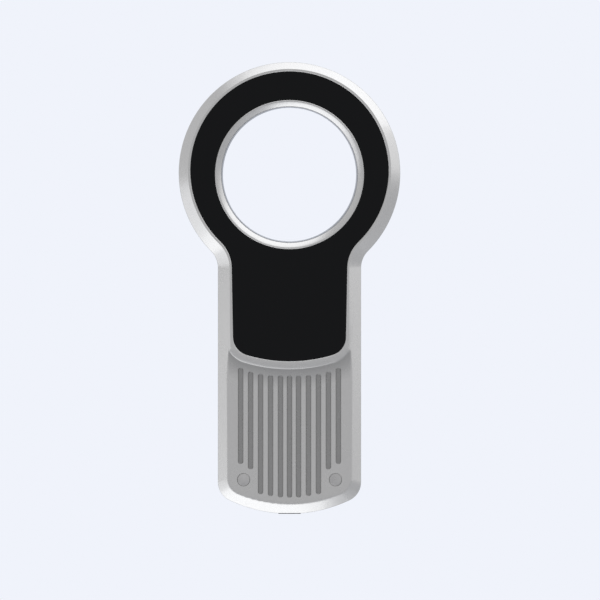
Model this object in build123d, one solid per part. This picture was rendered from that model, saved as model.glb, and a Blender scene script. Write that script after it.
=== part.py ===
from build123d import *
import os
from math import cos, radians, sin, sqrt

# Hand-held ring reader for animal microchips. Millimetres.
# +Z runs up the handle to the ring, -Y is the back, +Y is the display side.
# The origin is the centre of the ring's hole, half way through the case.

# ---- driving dimensions -------------------------------------------------

half_depth = 11.0          # from the parting plane to the rim round each black plate
chamfer_start = 7.5        # depth where the side wall turns into the broad chamfer
wall = 2.0                 # side walls of the case
roof = 8.0                 # inner face of the walls behind the black plates
seam_bevel = 0.25          # small bevel of each shell at the parting plane
edge_round = 0.6           # rounding between side wall and chamfer
gap = 0.1                  # fitting gap round dropped-in pieces
plate_gap = 0.04           # and round the glued black plates

bore_radius = 24.65        # hole through the ring
liner_wall = 0.64
liner_reach = 9.85         # the liner ends this far from the parting plane
rim_inner_radius = 26.8    # upper edge of the inner chamfer
rim_inner_drop = 1.0       # and its depth
plate_hole_radius = 27.6   # hole in the black plates

pocket_depth = 1.0         # recess for a black plate and its tape
plate_thickness = 0.8
tape_thickness = 0.1
rim_bevel = 0.12           # bevel on the rim, beside the plate

grip_drop = 0.8            # the grip panel lies this much lower than the rim
grip_round = 1.6           # rounding between the chamfer and the grip panel
step_start = 2.1           # the rim below the inlay is this wide
lip_run = 0.85             # its edge falls away over this distance
lip_drop = 0.42            # and by this much
fade_run = 7.0             # then a hollow curve runs out into the grip panel
fade_flats = 5             # flats that make up the curve

groove_width = 1.96
groove_depth = 1.2
groove_floor_round = 0.25
groove_first = 3.33        # middle groove to its neighbour
groove_pitch = 3.69        # between all the others
groove_count_each_side = 5

plug_x = 17.0
plug_z = -112.9
plug_radius = 2.32
plug_hole_radius = 2.4
neck_screw_z = -46.0
boss_radius = 3.6
screw_head_seat = 3.0      # depth of the seat under each case screw's head

board_back = 1.3
board_front = 2.9
board_half_width = 22.4
board_top = -39.8
board_bottom = -121.2

display_z = -63.0
window_width = 30.8
window_height = 16.2
window_round = 0.9
window_lip = 0.4           # the window's flange, behind the panel, is this much wider each side
display_width = 34.0       # the display's glass
display_height = 20.0

button_z = -90.0
button_radius = 7.0
button_base = 7.0          # the back of the button
button_reach = 0.7         # its rim stands out this far from the rim of the case
button_flange_radius = 8.4
dish_radius = 40.0
dish_depth = 0.45
bezel_bore = 7.35
bezel_outer = 8.9
bezel_seat = 9.0           # the bezel rests at this depth
bezel_reach = 0.35

led_x = 0.0
led_z = -77.2
light_guide_radius = 1.0
buzzer_x = -13.0
buzzer_z = -104.5
sound_hole_radius = 0.6

coil_inner = 33.4          # the antenna's winding
coil_outer = 36.2
coil_half_width = 2.6

port_half_width = 4.12
port_half_depth = 2.15
port_relief = 0.28         # the foot is cut flat round the port's frame by this much
port_top = -122.6
usb_width = 7.4
usb_depth = 2.6
usb_top = -119.2

insert_radius = 1.8        # brass inserts for the case screws
case_screw_radius = 0.98
board_screw_radius = 0.75
coil_lead_diameter = 0.5
battery_lead_diameter = 0.8


class Outline:
    """A ring on a handle: the ring's circle, straight sides, rounded necks and a shallow curved foot."""

    def __init__(self, ring_radius, ring_lift, side_top, side_bottom, neck_radius,
                 bottom, bottom_radius, corner_radius):
        self.ring_radius = ring_radius
        self.ring_lift = ring_lift
        self.side_top = side_top
        self.side_bottom = side_bottom
        self.neck_radius = neck_radius
        self.bottom = bottom
        self.bottom_radius = bottom_radius
        self.corner_radius = corner_radius


neck_level = -35.0
case_outline = Outline(41.0, 0.6, 26.5, 26.5, 8.5, -125.5, 52.0, 7.5)
rim_outline = Outline(37.6, 1.5, 22.15, 21.8, 12.6, -121.0, 52.0, 6.0)
inlay_outline = Outline(36.7, 1.5, 21.35, 20.8, 13.5, -69.1, 55.0, 7.0)
panel_outline = Outline(36.7, 1.5, 21.35, 20.8, 13.5, -117.6, 55.0, 7.0)


# ---- small helpers ------------------------------------------------------

def outline_face(outline, grow=0.0):
    """The outline as a flat face, with x across and y up the handle, grown outwards by grow."""
    ring = Pos(0, outline.ring_lift) * Circle(outline.ring_radius + grow)
    side_top = outline.side_top + grow
    side_bottom = outline.side_bottom + grow
    bottom = outline.bottom - grow
    bottom_radius = outline.bottom_radius + grow
    foot = bottom + bottom_radius - sqrt(bottom_radius**2 - side_bottom**2)
    head = neck_level + 15
    lean = (side_top - side_bottom) / (neck_level - foot)
    side_head = side_bottom + lean * (head - foot)
    sides = Polyline((-side_bottom, foot), (-side_head, head), (side_head, head), (side_bottom, foot))
    base = ThreePointArc((side_bottom, foot), (0, bottom), (-side_bottom, foot))
    face = ring + make_face(sides + base)
    necks = [v for v in face.vertices() if foot + 1 < v.Y < head - 0.5 and abs(v.X) > side_bottom / 2]
    face = fillet(necks, outline.neck_radius - grow)
    feet = [v for v in face.vertices() if abs(v.Y - foot) < 0.01]
    return fillet(feet, outline.corner_radius + grow)


def at_depth(face, y):
    return Pos(0, y, 0) * (Plane.XZ * face)


def slab(face, y0, y1):
    return extrude(at_depth(face, y0), amount=y1 - y0, dir=(0, 1, 0))


def tapered(face0, y0, face1, y1):
    return loft([at_depth(face0, y0), at_depth(face1, y1)], ruled=True)


def disc(radius, y0, y1, x=0.0, z=0.0):
    return Pos(x, (y0 + y1) / 2, z) * Rot(90, 0, 0) * Cylinder(radius, abs(y1 - y0))


def tube(outer, inner, y0, y1, x=0.0, z=0.0):
    return disc(outer, y0, y1, x, z) - disc(inner, min(y0, y1) - 1, max(y0, y1) + 1, x, z)


def cone(radius0, y0, radius1, y1, x=0.0, z=0.0):
    """A cone frustum along Y, radius0 at y0 and radius1 at y1, with y0 below y1."""
    return Pos(x, (y0 + y1) / 2, z) * Rot(90, 0, 0) * Cone(radius1, radius0, y1 - y0)


def block(x0, x1, y0, y1, z0, z1):
    return Pos((x0 + x1) / 2, (y0 + y1) / 2, (z0 + z1) / 2) * Box(x1 - x0, y1 - y0, z1 - z0)


def frame(x_half, z_half, x_in, z_in, y0, y1, x=0.0, z=0.0):
    outer = block(x - x_half, x + x_half, y0, y1, z - z_half, z + z_half)
    return outer - block(x - x_in, x + x_in, y0 - 1, y1 + 1, z - z_in, z + z_in)


def rounded_slab(width, height, radius, y0, y1, x=0.0, z=0.0):
    return slab(Pos(x, z) * RectangleRounded(width, height, radius), y0, y1)


def along_z(face, z0, z1):
    """A face drawn with x across and y in depth, extruded from z0 to z1."""
    return extrude(Pos(0, 0, z0) * face, amount=z1 - z0, dir=(0, 0, 1))


def group(pieces):
    return Compound(children=[part if isinstance(part, Solid) else part.solid() for part in pieces])


def wire(points, radii, diameter):
    """A round wire on straight runs joined by tangent arcs."""
    path = FilletPolyline(*points, radius=radii)
    start = Plane(path @ 0, z_dir=path % 0)
    return sweep(start * Circle(diameter / 2), path=path)


screw_places = [(-plug_x, plug_z), (plug_x, plug_z), (-plug_x, neck_screw_z), (plug_x, neck_screw_z)]
board_screw_places = [(-19.3, -78.0), (19.3, -78.0), (-19.3, -101.0), (19.3, -101.0)]


# ---- case ---------------------------------------------------------------

def shell_blank():
    """One half of the case, solid, built on the -Y side."""
    outer = outline_face(case_outline)
    blank = tapered(outline_face(case_outline, -seam_bevel), 0, outer, -seam_bevel)
    blank += slab(outer, -seam_bevel, -chamfer_start)
    blank += tapered(outer, -chamfer_start, outline_face(rim_outline), -half_depth)
    shoulder = [e for e in blank.edges() if abs(e.center().Y + chamfer_start) < 1e-3]
    return fillet(shoulder, edge_round)


def hollow():
    """The space inside one half, narrower behind the chamfer."""
    inner_step = chamfer_start - wall
    space = slab(outline_face(case_outline, -wall), 0.5, -inner_step)
    space += slab(outline_face(case_outline, -wall - 2.5), -inner_step, -roof)
    return space - disc(bore_radius + liner_wall + wall, 1, -half_depth)


def ring_hole():
    """The hole through one half, with the inner chamfer."""
    radius = bore_radius + liner_wall
    hole = disc(radius, 1, -half_depth)
    hole += cone(rim_inner_radius, -half_depth, radius, rim_inner_drop - half_depth)
    return hole + disc(rim_inner_radius, -half_depth, -half_depth - 1)


def plate_pocket(outline):
    """The recess for a black plate, with a bevelled rim, open towards -Y."""
    floor = pocket_depth - half_depth
    snug = outline_face(outline, plate_gap)
    wide = outline_face(outline, plate_gap + rim_bevel)
    pocket = slab(snug, floor, rim_bevel - half_depth)
    pocket += tapered(snug, rim_bevel - half_depth, wide, -half_depth)
    pocket += slab(wide, -half_depth, -half_depth - 1)
    boss_edge = plate_hole_radius - plate_gap
    boss = disc(boss_edge, floor + 1, rim_bevel - half_depth)
    boss += cone(boss_edge - rim_bevel, -half_depth, boss_edge, rim_bevel - half_depth)
    return pocket - boss


def case_half(outline):
    return shell_blank() - hollow() - ring_hole() - plate_pocket(outline)


def port_notch():
    """The notch for the port's frame in one half, and the flat that is cut in the foot round it."""
    notch = block(-port_half_width, port_half_width, -port_half_depth, 0.5, -130, port_top)
    flat_level = case_outline.bottom + port_relief
    return notch + block(-port_half_width, port_half_width, -half_depth, 0.5, -130, flat_level)


def grip_pocket():
    """What is cut away so that the grip panel lies lower than the rim below the inlay."""
    level = grip_drop - half_depth
    head = outline_face(inlay_outline, step_start)
    foot = outline_face(inlay_outline, step_start + lip_run)
    space = block(-30, 30, -half_depth - 1, level, -130, -58)
    space -= slab(head, -half_depth, -half_depth - 1)
    space -= tapered(foot, lip_drop - half_depth, head, -half_depth) + hollow_fade(level)
    return space


def hollow_fade(level):
    """The curve from the foot of the rim's lip down to the grip panel, as a stack of shallow tapers."""
    height = grip_drop - lip_drop
    stack = None
    for index in range(fade_flats):
        near = index / fade_flats
        far = (index + 1) / fade_flats
        upper = outline_face(inlay_outline, step_start + lip_run + fade_run * near)
        lower = outline_face(inlay_outline, step_start + lip_run + fade_run * far)
        band = tapered(lower, level - height * (1 - far)**2, upper, level - height * (1 - near)**2)
        stack = band if stack is None else stack + band
    return stack


def groove_places():
    """x, lowest z and highest z of each groove, in mirrored pairs about the middle one."""
    lower_ends = [-119.6, -119.5, -119.0, -118.3, -109.1, -107.1]
    reach = groove_first + (groove_count_each_side - 1) * groove_pitch
    places = []
    for step, low in enumerate(lower_ends):
        x = 0.0 if step == 0 else groove_first + (step - 1) * groove_pitch
        high = -74.3 + 2.85 * (x / reach) ** 3
        places.append((x, low, high))
        if step:
            places.append((-x, low, high))
    return places


def groove(x, low, high):
    level = grip_drop - half_depth
    face = Pos(x, (low + high) / 2) * Rot(0, 0, 90) * SlotOverall(high - low, groove_width)
    cut = slab(face, level + groove_depth, level - 1)
    floor = cut.faces().sort_by(Axis.Y)[-1]
    return fillet(floor.edges(), groove_floor_round)


def case_bosses(y_end):
    """Columns for the case screws, from the wall to depth y_end, on the -Y side."""
    return [disc(boss_radius, -roof - 0.2, y_end, x, z) for x, z in screw_places]


def make_rear_shell():
    level = grip_drop - half_depth
    shell = case_half(inlay_outline) - grip_pocket()
    soft = [
        e for e in shell.edges()
        if abs(e.center().Y - level) < 1e-3 and (abs(e.center().X) > 21.5 or e.center().Z < -116)
        and e.center().Z < -70
    ]
    shell = fillet(soft, grip_round)
    for place in groove_places():
        shell -= groove(*place)
    for column in case_bosses(-gap):
        shell += column
    for x, z in screw_places:
        top = level if z == plug_z else pocket_depth - half_depth
        shell -= disc(plug_hole_radius, -screw_head_seat, top - 1, x, z)
        shell -= disc(1.15, 1, -screw_head_seat, x, z)
    return shell - port_notch()


def make_front_shell():
    shell = case_half(panel_outline)
    for column in case_bosses(-gap):
        shell += column
    for x, z in screw_places:
        shell -= disc(insert_radius, 1, -6.0, x, z)
    for x, z in board_screw_places:
        shell += disc(2.2, -roof - 0.2, -board_front, x, z)
        shell -= disc(board_screw_radius, -board_front + 1, -7.0, x, z)
    seat_width = window_width + 2 * (window_lip + 2 * gap)
    seat_height = window_height + 2 * (window_lip + 2 * gap)
    shell -= rounded_slab(seat_width, seat_height, 1.2, -7, -half_depth - 1, z=display_z)
    shell -= disc(bezel_bore, -7, -half_depth, z=button_z)
    shell -= disc(bezel_outer + 0.02, -bezel_seat, -half_depth, z=button_z)
    shell -= disc(light_guide_radius + gap, -7, -half_depth, led_x, led_z)
    shell -= port_notch()
    shell = mirror(shell, about=Plane.XZ)
    return shell - disc(sound_hole_radius, 7, half_depth, buzzer_x, buzzer_z)


def make_ring_liner():
    liner = tube(bore_radius + liner_wall, bore_radius, -liner_reach, liner_reach)
    ends = [e for e in liner.edges() if abs(abs(e.center().Y) - liner_reach) < 1e-3]
    return fillet(ends, 0.2)


def plate(outline):
    top = -half_depth + pocket_depth - tape_thickness - plate_thickness
    bottom = pocket_depth - tape_thickness - half_depth
    black = slab(outline_face(outline), bottom, top) - disc(plate_hole_radius, 0, -half_depth)
    rims = [e for e in black.edges() if abs(e.center().Y - top) < 1e-3]
    return fillet(rims, 0.15)


def tape(outline):
    floor = pocket_depth - half_depth
    sheet = slab(outline_face(outline, -0.8), floor, floor - tape_thickness)
    sheet -= disc(plate_hole_radius + 0.8, 0, -half_depth)
    for x, z in screw_places:
        if outline is panel_outline:
            break
        sheet -= disc(plug_hole_radius + 0.5, 0, -half_depth, x, z)
    return sheet


def front_cuts(sheet, grow=0.0):
    """The openings of the display side in a sheet that is already at +Y."""
    room = grow + gap
    sheet -= rounded_slab(
        window_width + 2 * room, window_height + 2 * room, window_round + room, 5, 12, z=display_z
    )
    sheet -= disc(bezel_outer + 0.05 + grow, 5, 12, z=button_z)
    sheet -= disc(light_guide_radius + room, 5, 12, led_x, led_z)
    return sheet - disc(sound_hole_radius + grow, 5, 12, buzzer_x, buzzer_z)


def make_rear_inlay():
    return plate(inlay_outline)


def make_inlay_adhesive():
    return tape(inlay_outline)


def make_front_panel():
    return front_cuts(mirror(plate(panel_outline), about=Plane.XZ))


def make_panel_adhesive():
    return front_cuts(mirror(tape(panel_outline), about=Plane.XZ), 0.6)


def make_display_window():
    low = half_depth - pocket_depth
    lens = rounded_slab(window_width, window_height, window_round, low, half_depth - gap, z=display_z)
    flange_width = window_width + 2 * window_lip
    flange_height = window_height + 2 * window_lip
    return lens + rounded_slab(flange_width, flange_height, 1.0, low - 0.8, low, z=display_z)


def make_screw_plugs():
    outer = 0.05 + grip_drop - half_depth
    pieces = []
    for x in (-plug_x, plug_x):
        body = disc(plug_radius, outer, outer + 2.4, x, plug_z)
        face_edge = body.edges().sort_by(Axis.Y)[0]
        pieces.append(fillet(face_edge, 0.2))
    return group(pieces)


def case_screw(x, z):
    seat = -screw_head_seat
    head = disc(1.9, seat - 1.5, seat, x, z)
    head = fillet(head.edges().sort_by(Axis.Y)[0], 0.4)
    socket = Pos(x, 0, z) * cross_recess(seat - 1.6, seat - 0.6)
    return head - socket + disc(case_screw_radius, seat, 5.4, x, z)


def cross_recess(y0, y1, arm=0.9, width=0.4):
    return block(-arm, arm, y0, y1, -width / 2, width / 2) + block(-width / 2, width / 2, y0, y1, -arm, arm)


def make_case_screws():
    return group([case_screw(x, z) for x, z in screw_places])


def make_threaded_inserts():
    pieces = []
    for x, z in screw_places:
        sleeve = tube(insert_radius, 1.0, 0.3, 5.6, x, z)
        pieces.append(sleeve - tube(2.2, 1.55, 2.6, 3.2, x, z))
    return group(pieces)


# ---- scan button and switch ---------------------------------------------

def make_button_bezel():
    crest = half_depth + bezel_reach
    bezel = tube(bezel_outer, bezel_bore, bezel_seat, crest, z=button_z)
    rims = [e for e in bezel.edges() if abs(e.center().Y - crest) < 1e-3]
    return fillet(rims, 0.3)


def make_scan_button():
    """A round cap with a dished top and a flange that keeps it in the case."""
    crown = half_depth + button_reach
    cap = disc(button_radius, button_base, crown, z=button_z)
    rim = [e for e in cap.edges() if abs(e.center().Y - crown) < 1e-3]
    cap = fillet(rim, 0.5)
    cap += disc(button_flange_radius, button_base, button_base + 0.9, z=button_z)
    dish = Pos(0, crown + dish_radius - dish_depth, button_z) * Sphere(dish_radius)
    hollow_under = tube(5.9, 2.2, button_base - 1, 9.8, z=button_z)
    return cap - dish - hollow_under


def make_switch_plunger():
    return disc(1.7, 5.55, button_base, z=button_z)


def make_switch_body():
    body = block(-3.0, 3.0, board_front, 5.9, button_z - 3.0, button_z + 3.0)
    body = fillet(body.edges().filter_by(Axis.Y), 0.4)
    return body - disc(1.75, 5.0, 7.0, z=button_z)


# ---- display ------------------------------------------------------------

def make_display_module():
    half_width = display_width / 2
    half_height = display_height / 2
    return block(-half_width, half_width, 5.4, 6.9, display_z - half_height, display_z + half_height)


def make_display_holder():
    half_width = display_width / 2
    half_height = display_height / 2
    holder = frame(half_width + 0.9, half_height + 0.9, 15.6, 8.6, board_front, 6.9, z=display_z)
    return holder - Pos(0, 6.7, display_z) * Box(display_width + 2 * gap, 2.6, display_height + 2 * gap)


def make_display_gasket():
    return frame(display_width / 2, display_height / 2 - gap, 16.1, 8.8, 6.9, roof, z=display_z)


def make_display_ribbon():
    """A flat strip that leaves the glass, bends once and lies on the board."""
    fold = display_z - 7.6
    points = [(0, 5.3, display_z - 4), (0, 5.3, fold), (0, 3.0, fold), (0, 3.0, display_z - 1)]
    path = FilletPolyline(*points, radius=[1.0, 1.0])
    start = Plane(path @ 0, x_dir=(1, 0, 0), z_dir=path % 0)
    return sweep(start * Rectangle(12.0, 0.14), path=path)


def make_light_guide():
    guide = disc(light_guide_radius, 4.0, half_depth - 0.05, led_x, led_z)
    return guide + disc(1.7, 4.0, 7.6, led_x, led_z)


def make_status_led():
    return block(led_x - 0.8, led_x + 0.8, board_front, 3.6, led_z - 0.4, led_z + 0.4)


def make_buzzer():
    can = disc(4.5, board_front, 5.4, buzzer_x, buzzer_z)
    return can - disc(0.8, 4.6, 6, buzzer_x, buzzer_z)


# ---- board --------------------------------------------------------------

def make_main_board():
    board = block(-board_half_width, board_half_width, board_back, board_front, board_bottom, board_top)
    trimmed = slab(outline_face(case_outline, -wall - 1.2), board_back, board_front)
    board = board & trimmed
    for x, z in screw_places:
        board -= disc(boss_radius + 0.4, 0, 4, x, z)
    for x, z in board_screw_places:
        board -= disc(1.0, 0, 4, x, z)
    return board


def make_board_screws():
    pieces = []
    for x, z in board_screw_places:
        head = disc(1.7, board_back - 1.1, board_back, x, z)
        head = fillet(head.edges().sort_by(Axis.Y)[0], 0.35)
        head -= Pos(x, 0, z) * cross_recess(-1, board_back - 0.6, 0.75, 0.32)
        pieces.append(head + disc(board_screw_radius, board_back, 6.4, x, z))
    return group(pieces)


def chip(x, z, width, height, thickness, lead_count, pitch):
    """A moulded chip on the back of the board with gull-wing leads on two sides."""
    top = board_back - thickness
    body = block(x - width / 2, x + width / 2, top, board_back - 0.1, z - height / 2, z + height / 2)
    body = chamfer(body.faces().sort_by(Axis.Y)[0].edges(), 0.15)
    for index in range(lead_count):
        level = z + (index - (lead_count - 1) / 2) * pitch
        for side in (-1, 1):
            x0, x1 = sorted((x + side * width / 2, x + side * (width / 2 + 0.9)))
            body += block(x0, x1, board_back - 0.25, board_back, level - 0.15, level + 0.15)
    body += block(x - 0.5, x + 0.5, board_back - 0.1, board_back, z - 0.5, z + 0.5)
    return body


def make_processor_chip():
    return chip(0, -106.5, 7.0, 7.0, 1.1, 12, 0.5)


def make_reader_chip():
    return chip(6.0, -45.0, 4.4, 6.5, 1.1, 8, 0.65)


def make_charger_chip():
    return chip(-9.5, -112.0, 3.0, 3.0, 0.9, 3, 0.95)


def make_crystal():
    can = rounded_slab(3.4, 8.0, 1.6, board_back, board_back - 1.6, 8.0, -106.0)
    return fillet(can.faces().sort_by(Axis.Y)[0].edges(), 0.3)


def make_inductor():
    core = block(-10.8, -6.8, board_back - 1.6, board_back, -107.4, -103.4)
    core = fillet(core.edges().filter_by(Axis.Y), 0.8)
    return core - tube(1.7, 1.3, board_back - 1.7, board_back - 1.4, -8.8, -105.4)


def small_parts(rows, width, height, thickness):
    """Rows of little blocks on the back of the board: (x, z, count, spacing)."""
    pieces = []
    for x, z, count, spacing in rows:
        for index in range(count):
            left = x + index * spacing
            pieces.append(block(left, left + width, board_back - thickness, board_back, z, z + height))
    return group(pieces)


def make_board_capacitors():
    rows = [(-9.0, -44.0, 3, 2.2), (-5.0, -113.0, 4, 2.4), (11.0, -101.5, 3, 2.2)]
    return small_parts(rows, 1.2, 2.0, 0.8)


def make_board_resistors():
    rows = [(-9.0, -47.4, 5, 1.7), (-5.0, -101.4, 6, 1.7), (4.2, -115.5, 4, 1.7)]
    return small_parts(rows, 0.8, 1.6, 0.45)


# ---- antenna ------------------------------------------------------------

def make_antenna_bobbin():
    """A spool: a hub round the ring's inner wall, a web with round holes and a channel for the winding."""
    spool = tube(29.0, 27.6, -7.9, 7.9) + tube(coil_inner, 28.8, -0.8, 0.8)
    spool += tube(coil_inner, coil_inner - 1.2, -coil_half_width - 1.2, coil_half_width + 1.2)
    near = coil_half_width + 0.2
    for side in (-1, 1):
        spool += tube(coil_outer + 1.2, coil_inner - 1.2, side * near, side * (near + 1.0))
    web_hole_count = 16
    web_hole_circle = 30.6
    for index in range(web_hole_count):
        angle = radians(360 / web_hole_count * (index + 0.5))
        spool -= disc(1.1, -2, 2, web_hole_circle * cos(angle), web_hole_circle * sin(angle))
    return spool - block(-4.0, 4.0, -coil_half_width - 2, -coil_half_width, -39, -34)


def make_antenna_coil():
    return tube(coil_outer, coil_inner, -coil_half_width, coil_half_width)


def make_coil_leads():
    leads = []
    for side in (-1, 1):
        x = side * 1.6
        points = [(x, -3.0, -35.0), (x, -3.0, -39.4), (x, 0.2, -42.4), (x, board_back, -42.4)]
        leads.append(wire(points, [1.4, 0.5], coil_lead_diameter))
    return group(leads)


# ---- power --------------------------------------------------------------

def make_battery_cell():
    cell = block(-17.0, 17.0, -7.6, -2.0, -97.0, -53.0)
    cell = fillet(cell.edges().filter_by(Axis.Z), 2.2)
    return cell + block(-15.5, 15.5, -6.2, -3.4, -53.0, -51.2)


def make_battery_pad():
    return block(-14.0, 14.0, -roof, -7.6, -95.0, -55.0)


def make_battery_leads():
    leads = []
    for side in (-1, 1):
        x = -9.0 + side * 0.9
        points = [(x, -4.8, -51.2), (x, -4.8, -48.2), (x, -0.8, -48.2), (x, -0.8, -50.3)]
        leads.append(wire(points, [1.3, 1.3], battery_lead_diameter))
    return group(leads)


def make_battery_plug():
    return block(-12.0, -6.0, -1.7, 0.1, -55.0, -50.3) - block(-11.5, -6.5, -2.0, -1.2, -53.0, -50.0)


def make_battery_socket():
    socket = block(-12.8, -5.2, -2.0, board_back, -57.4, -50.6)
    return socket - block(-12.1, -5.9, -3.0, 0.2, -55.2, -50.0)


def make_usb_connector():
    metal = 0.25
    shell = along_z(RectangleRounded(usb_width, usb_depth, 0.6), -125.2, usb_top)
    inside = RectangleRounded(usb_width - 2 * metal, usb_depth - 2 * metal, 0.4)
    return shell - along_z(inside, -126, usb_top - 0.4)


def make_usb_tongue():
    tongue = block(-1.9, 1.9, -0.1, 0.6, -124.6, -119.6)
    for index in range(5):
        x = (index - 2) * 0.65
        tongue -= block(x - 0.13, x + 0.13, -0.2, 0.0, -124.4, -120.2)
    return tongue


def make_port_bezel():
    low = case_outline.bottom
    bezel = along_z(RectangleRounded(2 * port_half_width, 2 * port_half_depth, 1.0), low, port_top - 0.2)
    opening = RectangleRounded(usb_width + 0.04, usb_depth + 0.04, 0.6)
    return bezel - along_z(opening, low - 1, port_top + 1)


nodes = {
    "rear_shell": make_rear_shell,
    "front_shell": make_front_shell,
    "ring_liner": make_ring_liner,
    "rear_inlay": make_rear_inlay,
    "inlay_adhesive": make_inlay_adhesive,
    "front_panel": make_front_panel,
    "panel_adhesive": make_panel_adhesive,
    "display_window": make_display_window,
    "screw_plugs": make_screw_plugs,
    "case_screws": make_case_screws,
    "threaded_inserts": make_threaded_inserts,
    "button_bezel": make_button_bezel,
    "scan_button": make_scan_button,
    "switch_plunger": make_switch_plunger,
    "switch_body": make_switch_body,
    "display_module": make_display_module,
    "display_holder": make_display_holder,
    "display_gasket": make_display_gasket,
    "display_ribbon": make_display_ribbon,
    "light_guide": make_light_guide,
    "status_led": make_status_led,
    "buzzer": make_buzzer,
    "main_board": make_main_board,
    "board_screws": make_board_screws,
    "processor_chip": make_processor_chip,
    "reader_chip": make_reader_chip,
    "charger_chip": make_charger_chip,
    "crystal": make_crystal,
    "inductor": make_inductor,
    "board_capacitors": make_board_capacitors,
    "board_resistors": make_board_resistors,
    "antenna_bobbin": make_antenna_bobbin,
    "antenna_coil": make_antenna_coil,
    "coil_leads": make_coil_leads,
    "battery_cell": make_battery_cell,
    "battery_pad": make_battery_pad,
    "battery_leads": make_battery_leads,
    "battery_plug": make_battery_plug,
    "battery_socket": make_battery_socket,
    "usb_connector": make_usb_connector,
    "usb_tongue": make_usb_tongue,
    "port_bezel": make_port_bezel,
}

os.makedirs("parts", exist_ok=True)
for name, make in nodes.items():
    export_step(make(), f"parts/{name}.step")
    print("made", name)
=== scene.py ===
import math

import bmesh
import bpy
from mathutils import Matrix, Vector


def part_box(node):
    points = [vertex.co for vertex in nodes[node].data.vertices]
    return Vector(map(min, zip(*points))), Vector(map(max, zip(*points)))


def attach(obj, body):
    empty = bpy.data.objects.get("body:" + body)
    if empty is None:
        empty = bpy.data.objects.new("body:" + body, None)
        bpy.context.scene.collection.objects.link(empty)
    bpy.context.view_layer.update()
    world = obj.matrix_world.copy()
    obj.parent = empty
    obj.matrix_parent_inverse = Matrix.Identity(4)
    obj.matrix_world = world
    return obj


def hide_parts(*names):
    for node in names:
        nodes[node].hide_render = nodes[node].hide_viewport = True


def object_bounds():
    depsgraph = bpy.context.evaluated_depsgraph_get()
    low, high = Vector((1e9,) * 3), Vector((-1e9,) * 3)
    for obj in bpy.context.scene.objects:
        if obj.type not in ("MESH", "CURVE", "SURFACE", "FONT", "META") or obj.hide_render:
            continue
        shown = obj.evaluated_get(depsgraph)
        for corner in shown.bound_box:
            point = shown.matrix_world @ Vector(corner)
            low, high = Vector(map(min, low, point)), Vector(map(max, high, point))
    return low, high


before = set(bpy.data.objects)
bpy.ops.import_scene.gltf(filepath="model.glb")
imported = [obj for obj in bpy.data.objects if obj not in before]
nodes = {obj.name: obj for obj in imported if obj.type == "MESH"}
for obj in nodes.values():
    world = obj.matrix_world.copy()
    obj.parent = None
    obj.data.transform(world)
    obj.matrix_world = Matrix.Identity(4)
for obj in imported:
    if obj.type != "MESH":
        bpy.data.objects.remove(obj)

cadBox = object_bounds()
mm = 0.001
scene = bpy.context.scene
middle = (Vector(cadBox[0]) + Vector(cadBox[1])) / 2


# camera, lamps, world and floor

cameraSet = {
    "across": 0.222,      # metres that the picture takes in
    "aside": 0.003885,    # to the right of the object's middle
    "down": 0.00445,      # below the object's middle
    "away": 1.0,
}

surround = {
    "sky": (0.871, 0.896, 0.965),
    "floorFinish": {"colour": (0.80, 0.81, 0.83), "roughness": 0.9, "patch": 180, "grain": 0.9,
                    "shade": 0.01, "gloss": 0.03, "relief": 0.02},
    "floorDrop": 0.85,     # the reader is held up by its ring, this far above the floor
    "floorReach": 9.0,
}

lampColour = (0.895, 0.930, 1.0)
lampAlong = 0.95     # metres, the side of every lamp that lies along the reader's depth
# turn is the direction from the reader in degrees up from +X, front is towards -Y
lamps = [
    {"name": "upperWide", "turn": 63, "front": 0.15, "away": 0.60, "round": 2.30, "watts": 5.4},
    {"name": "upperCore", "turn": 71, "front": 0.26, "away": 0.58, "round": 1.10, "watts": 3.2},
    {"name": "lowerWide", "turn": 237, "front": 0.15, "away": 0.60, "round": 1.60, "watts": 5.2},
    {"name": "lowerCore", "turn": 251, "front": 0.34, "away": 0.58, "round": 0.86, "watts": 1.6},
    {"name": "leftFill", "turn": 160, "front": 0.0, "away": 0.60, "round": 0.55, "watts": 0.22},
    {"name": "rightFill", "turn": 350, "front": 0.0, "away": 0.60, "round": 0.40, "watts": 0.12},
]


def addObject(name, data):
    item = bpy.data.objects.new(name, data)
    scene.collection.objects.link(item)
    return item


def makeCamera():
    camera = addObject("camera", bpy.data.cameras.new("camera"))
    camera.data.type = "ORTHO"
    camera.data.ortho_scale = cameraSet["across"]
    camera.location = (middle.x + cameraSet["aside"], -cameraSet["away"], middle.z - cameraSet["down"])
    camera.rotation_euler = (math.pi / 2, 0, 0)
    scene.camera = camera


def makeLamps():
    # each lamp faces the line along Y through the reader's middle
    for values in lamps:
        lamp = addObject(values["name"], bpy.data.lights.new(values["name"], "AREA"))
        turn = math.radians(values["turn"])
        lamp.data.shape = "RECTANGLE"
        lamp.data.size = values["round"]
        lamp.data.size_y = lampAlong
        lamp.data.energy = values["watts"]
        lamp.data.color = lampColour
        lamp.location = Vector((math.cos(turn), 0, math.sin(turn))) * values["away"]
        lamp.location += Vector((0, -values["front"], middle.z))
        lamp.rotation_euler = (0, math.pi / 2 - turn, 0)
        lamp.visible_camera = False


def makeSurround():
    world = bpy.data.worlds.new("paleStudio")
    world.use_nodes = True
    world.node_tree.nodes["Background"].inputs["Color"].default_value = (*surround["sky"], 1)
    scene.world = world
    reach = surround["floorReach"]
    level = middle.z - surround["floorDrop"]
    mesh = bpy.data.meshes.new("floor")
    around = [(-1, -1), (1, -1), (1, 1), (-1, 1)]
    corners = [(x * reach, y * reach, level) for x, y in around]
    mesh.from_pydata(corners, [], [(0, 1, 2, 3)])
    mesh.materials.append(mottledFinish("floorPaper", surround["floorFinish"]))
    addObject("floor", mesh)


# finishes: small helpers that the materials share

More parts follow.
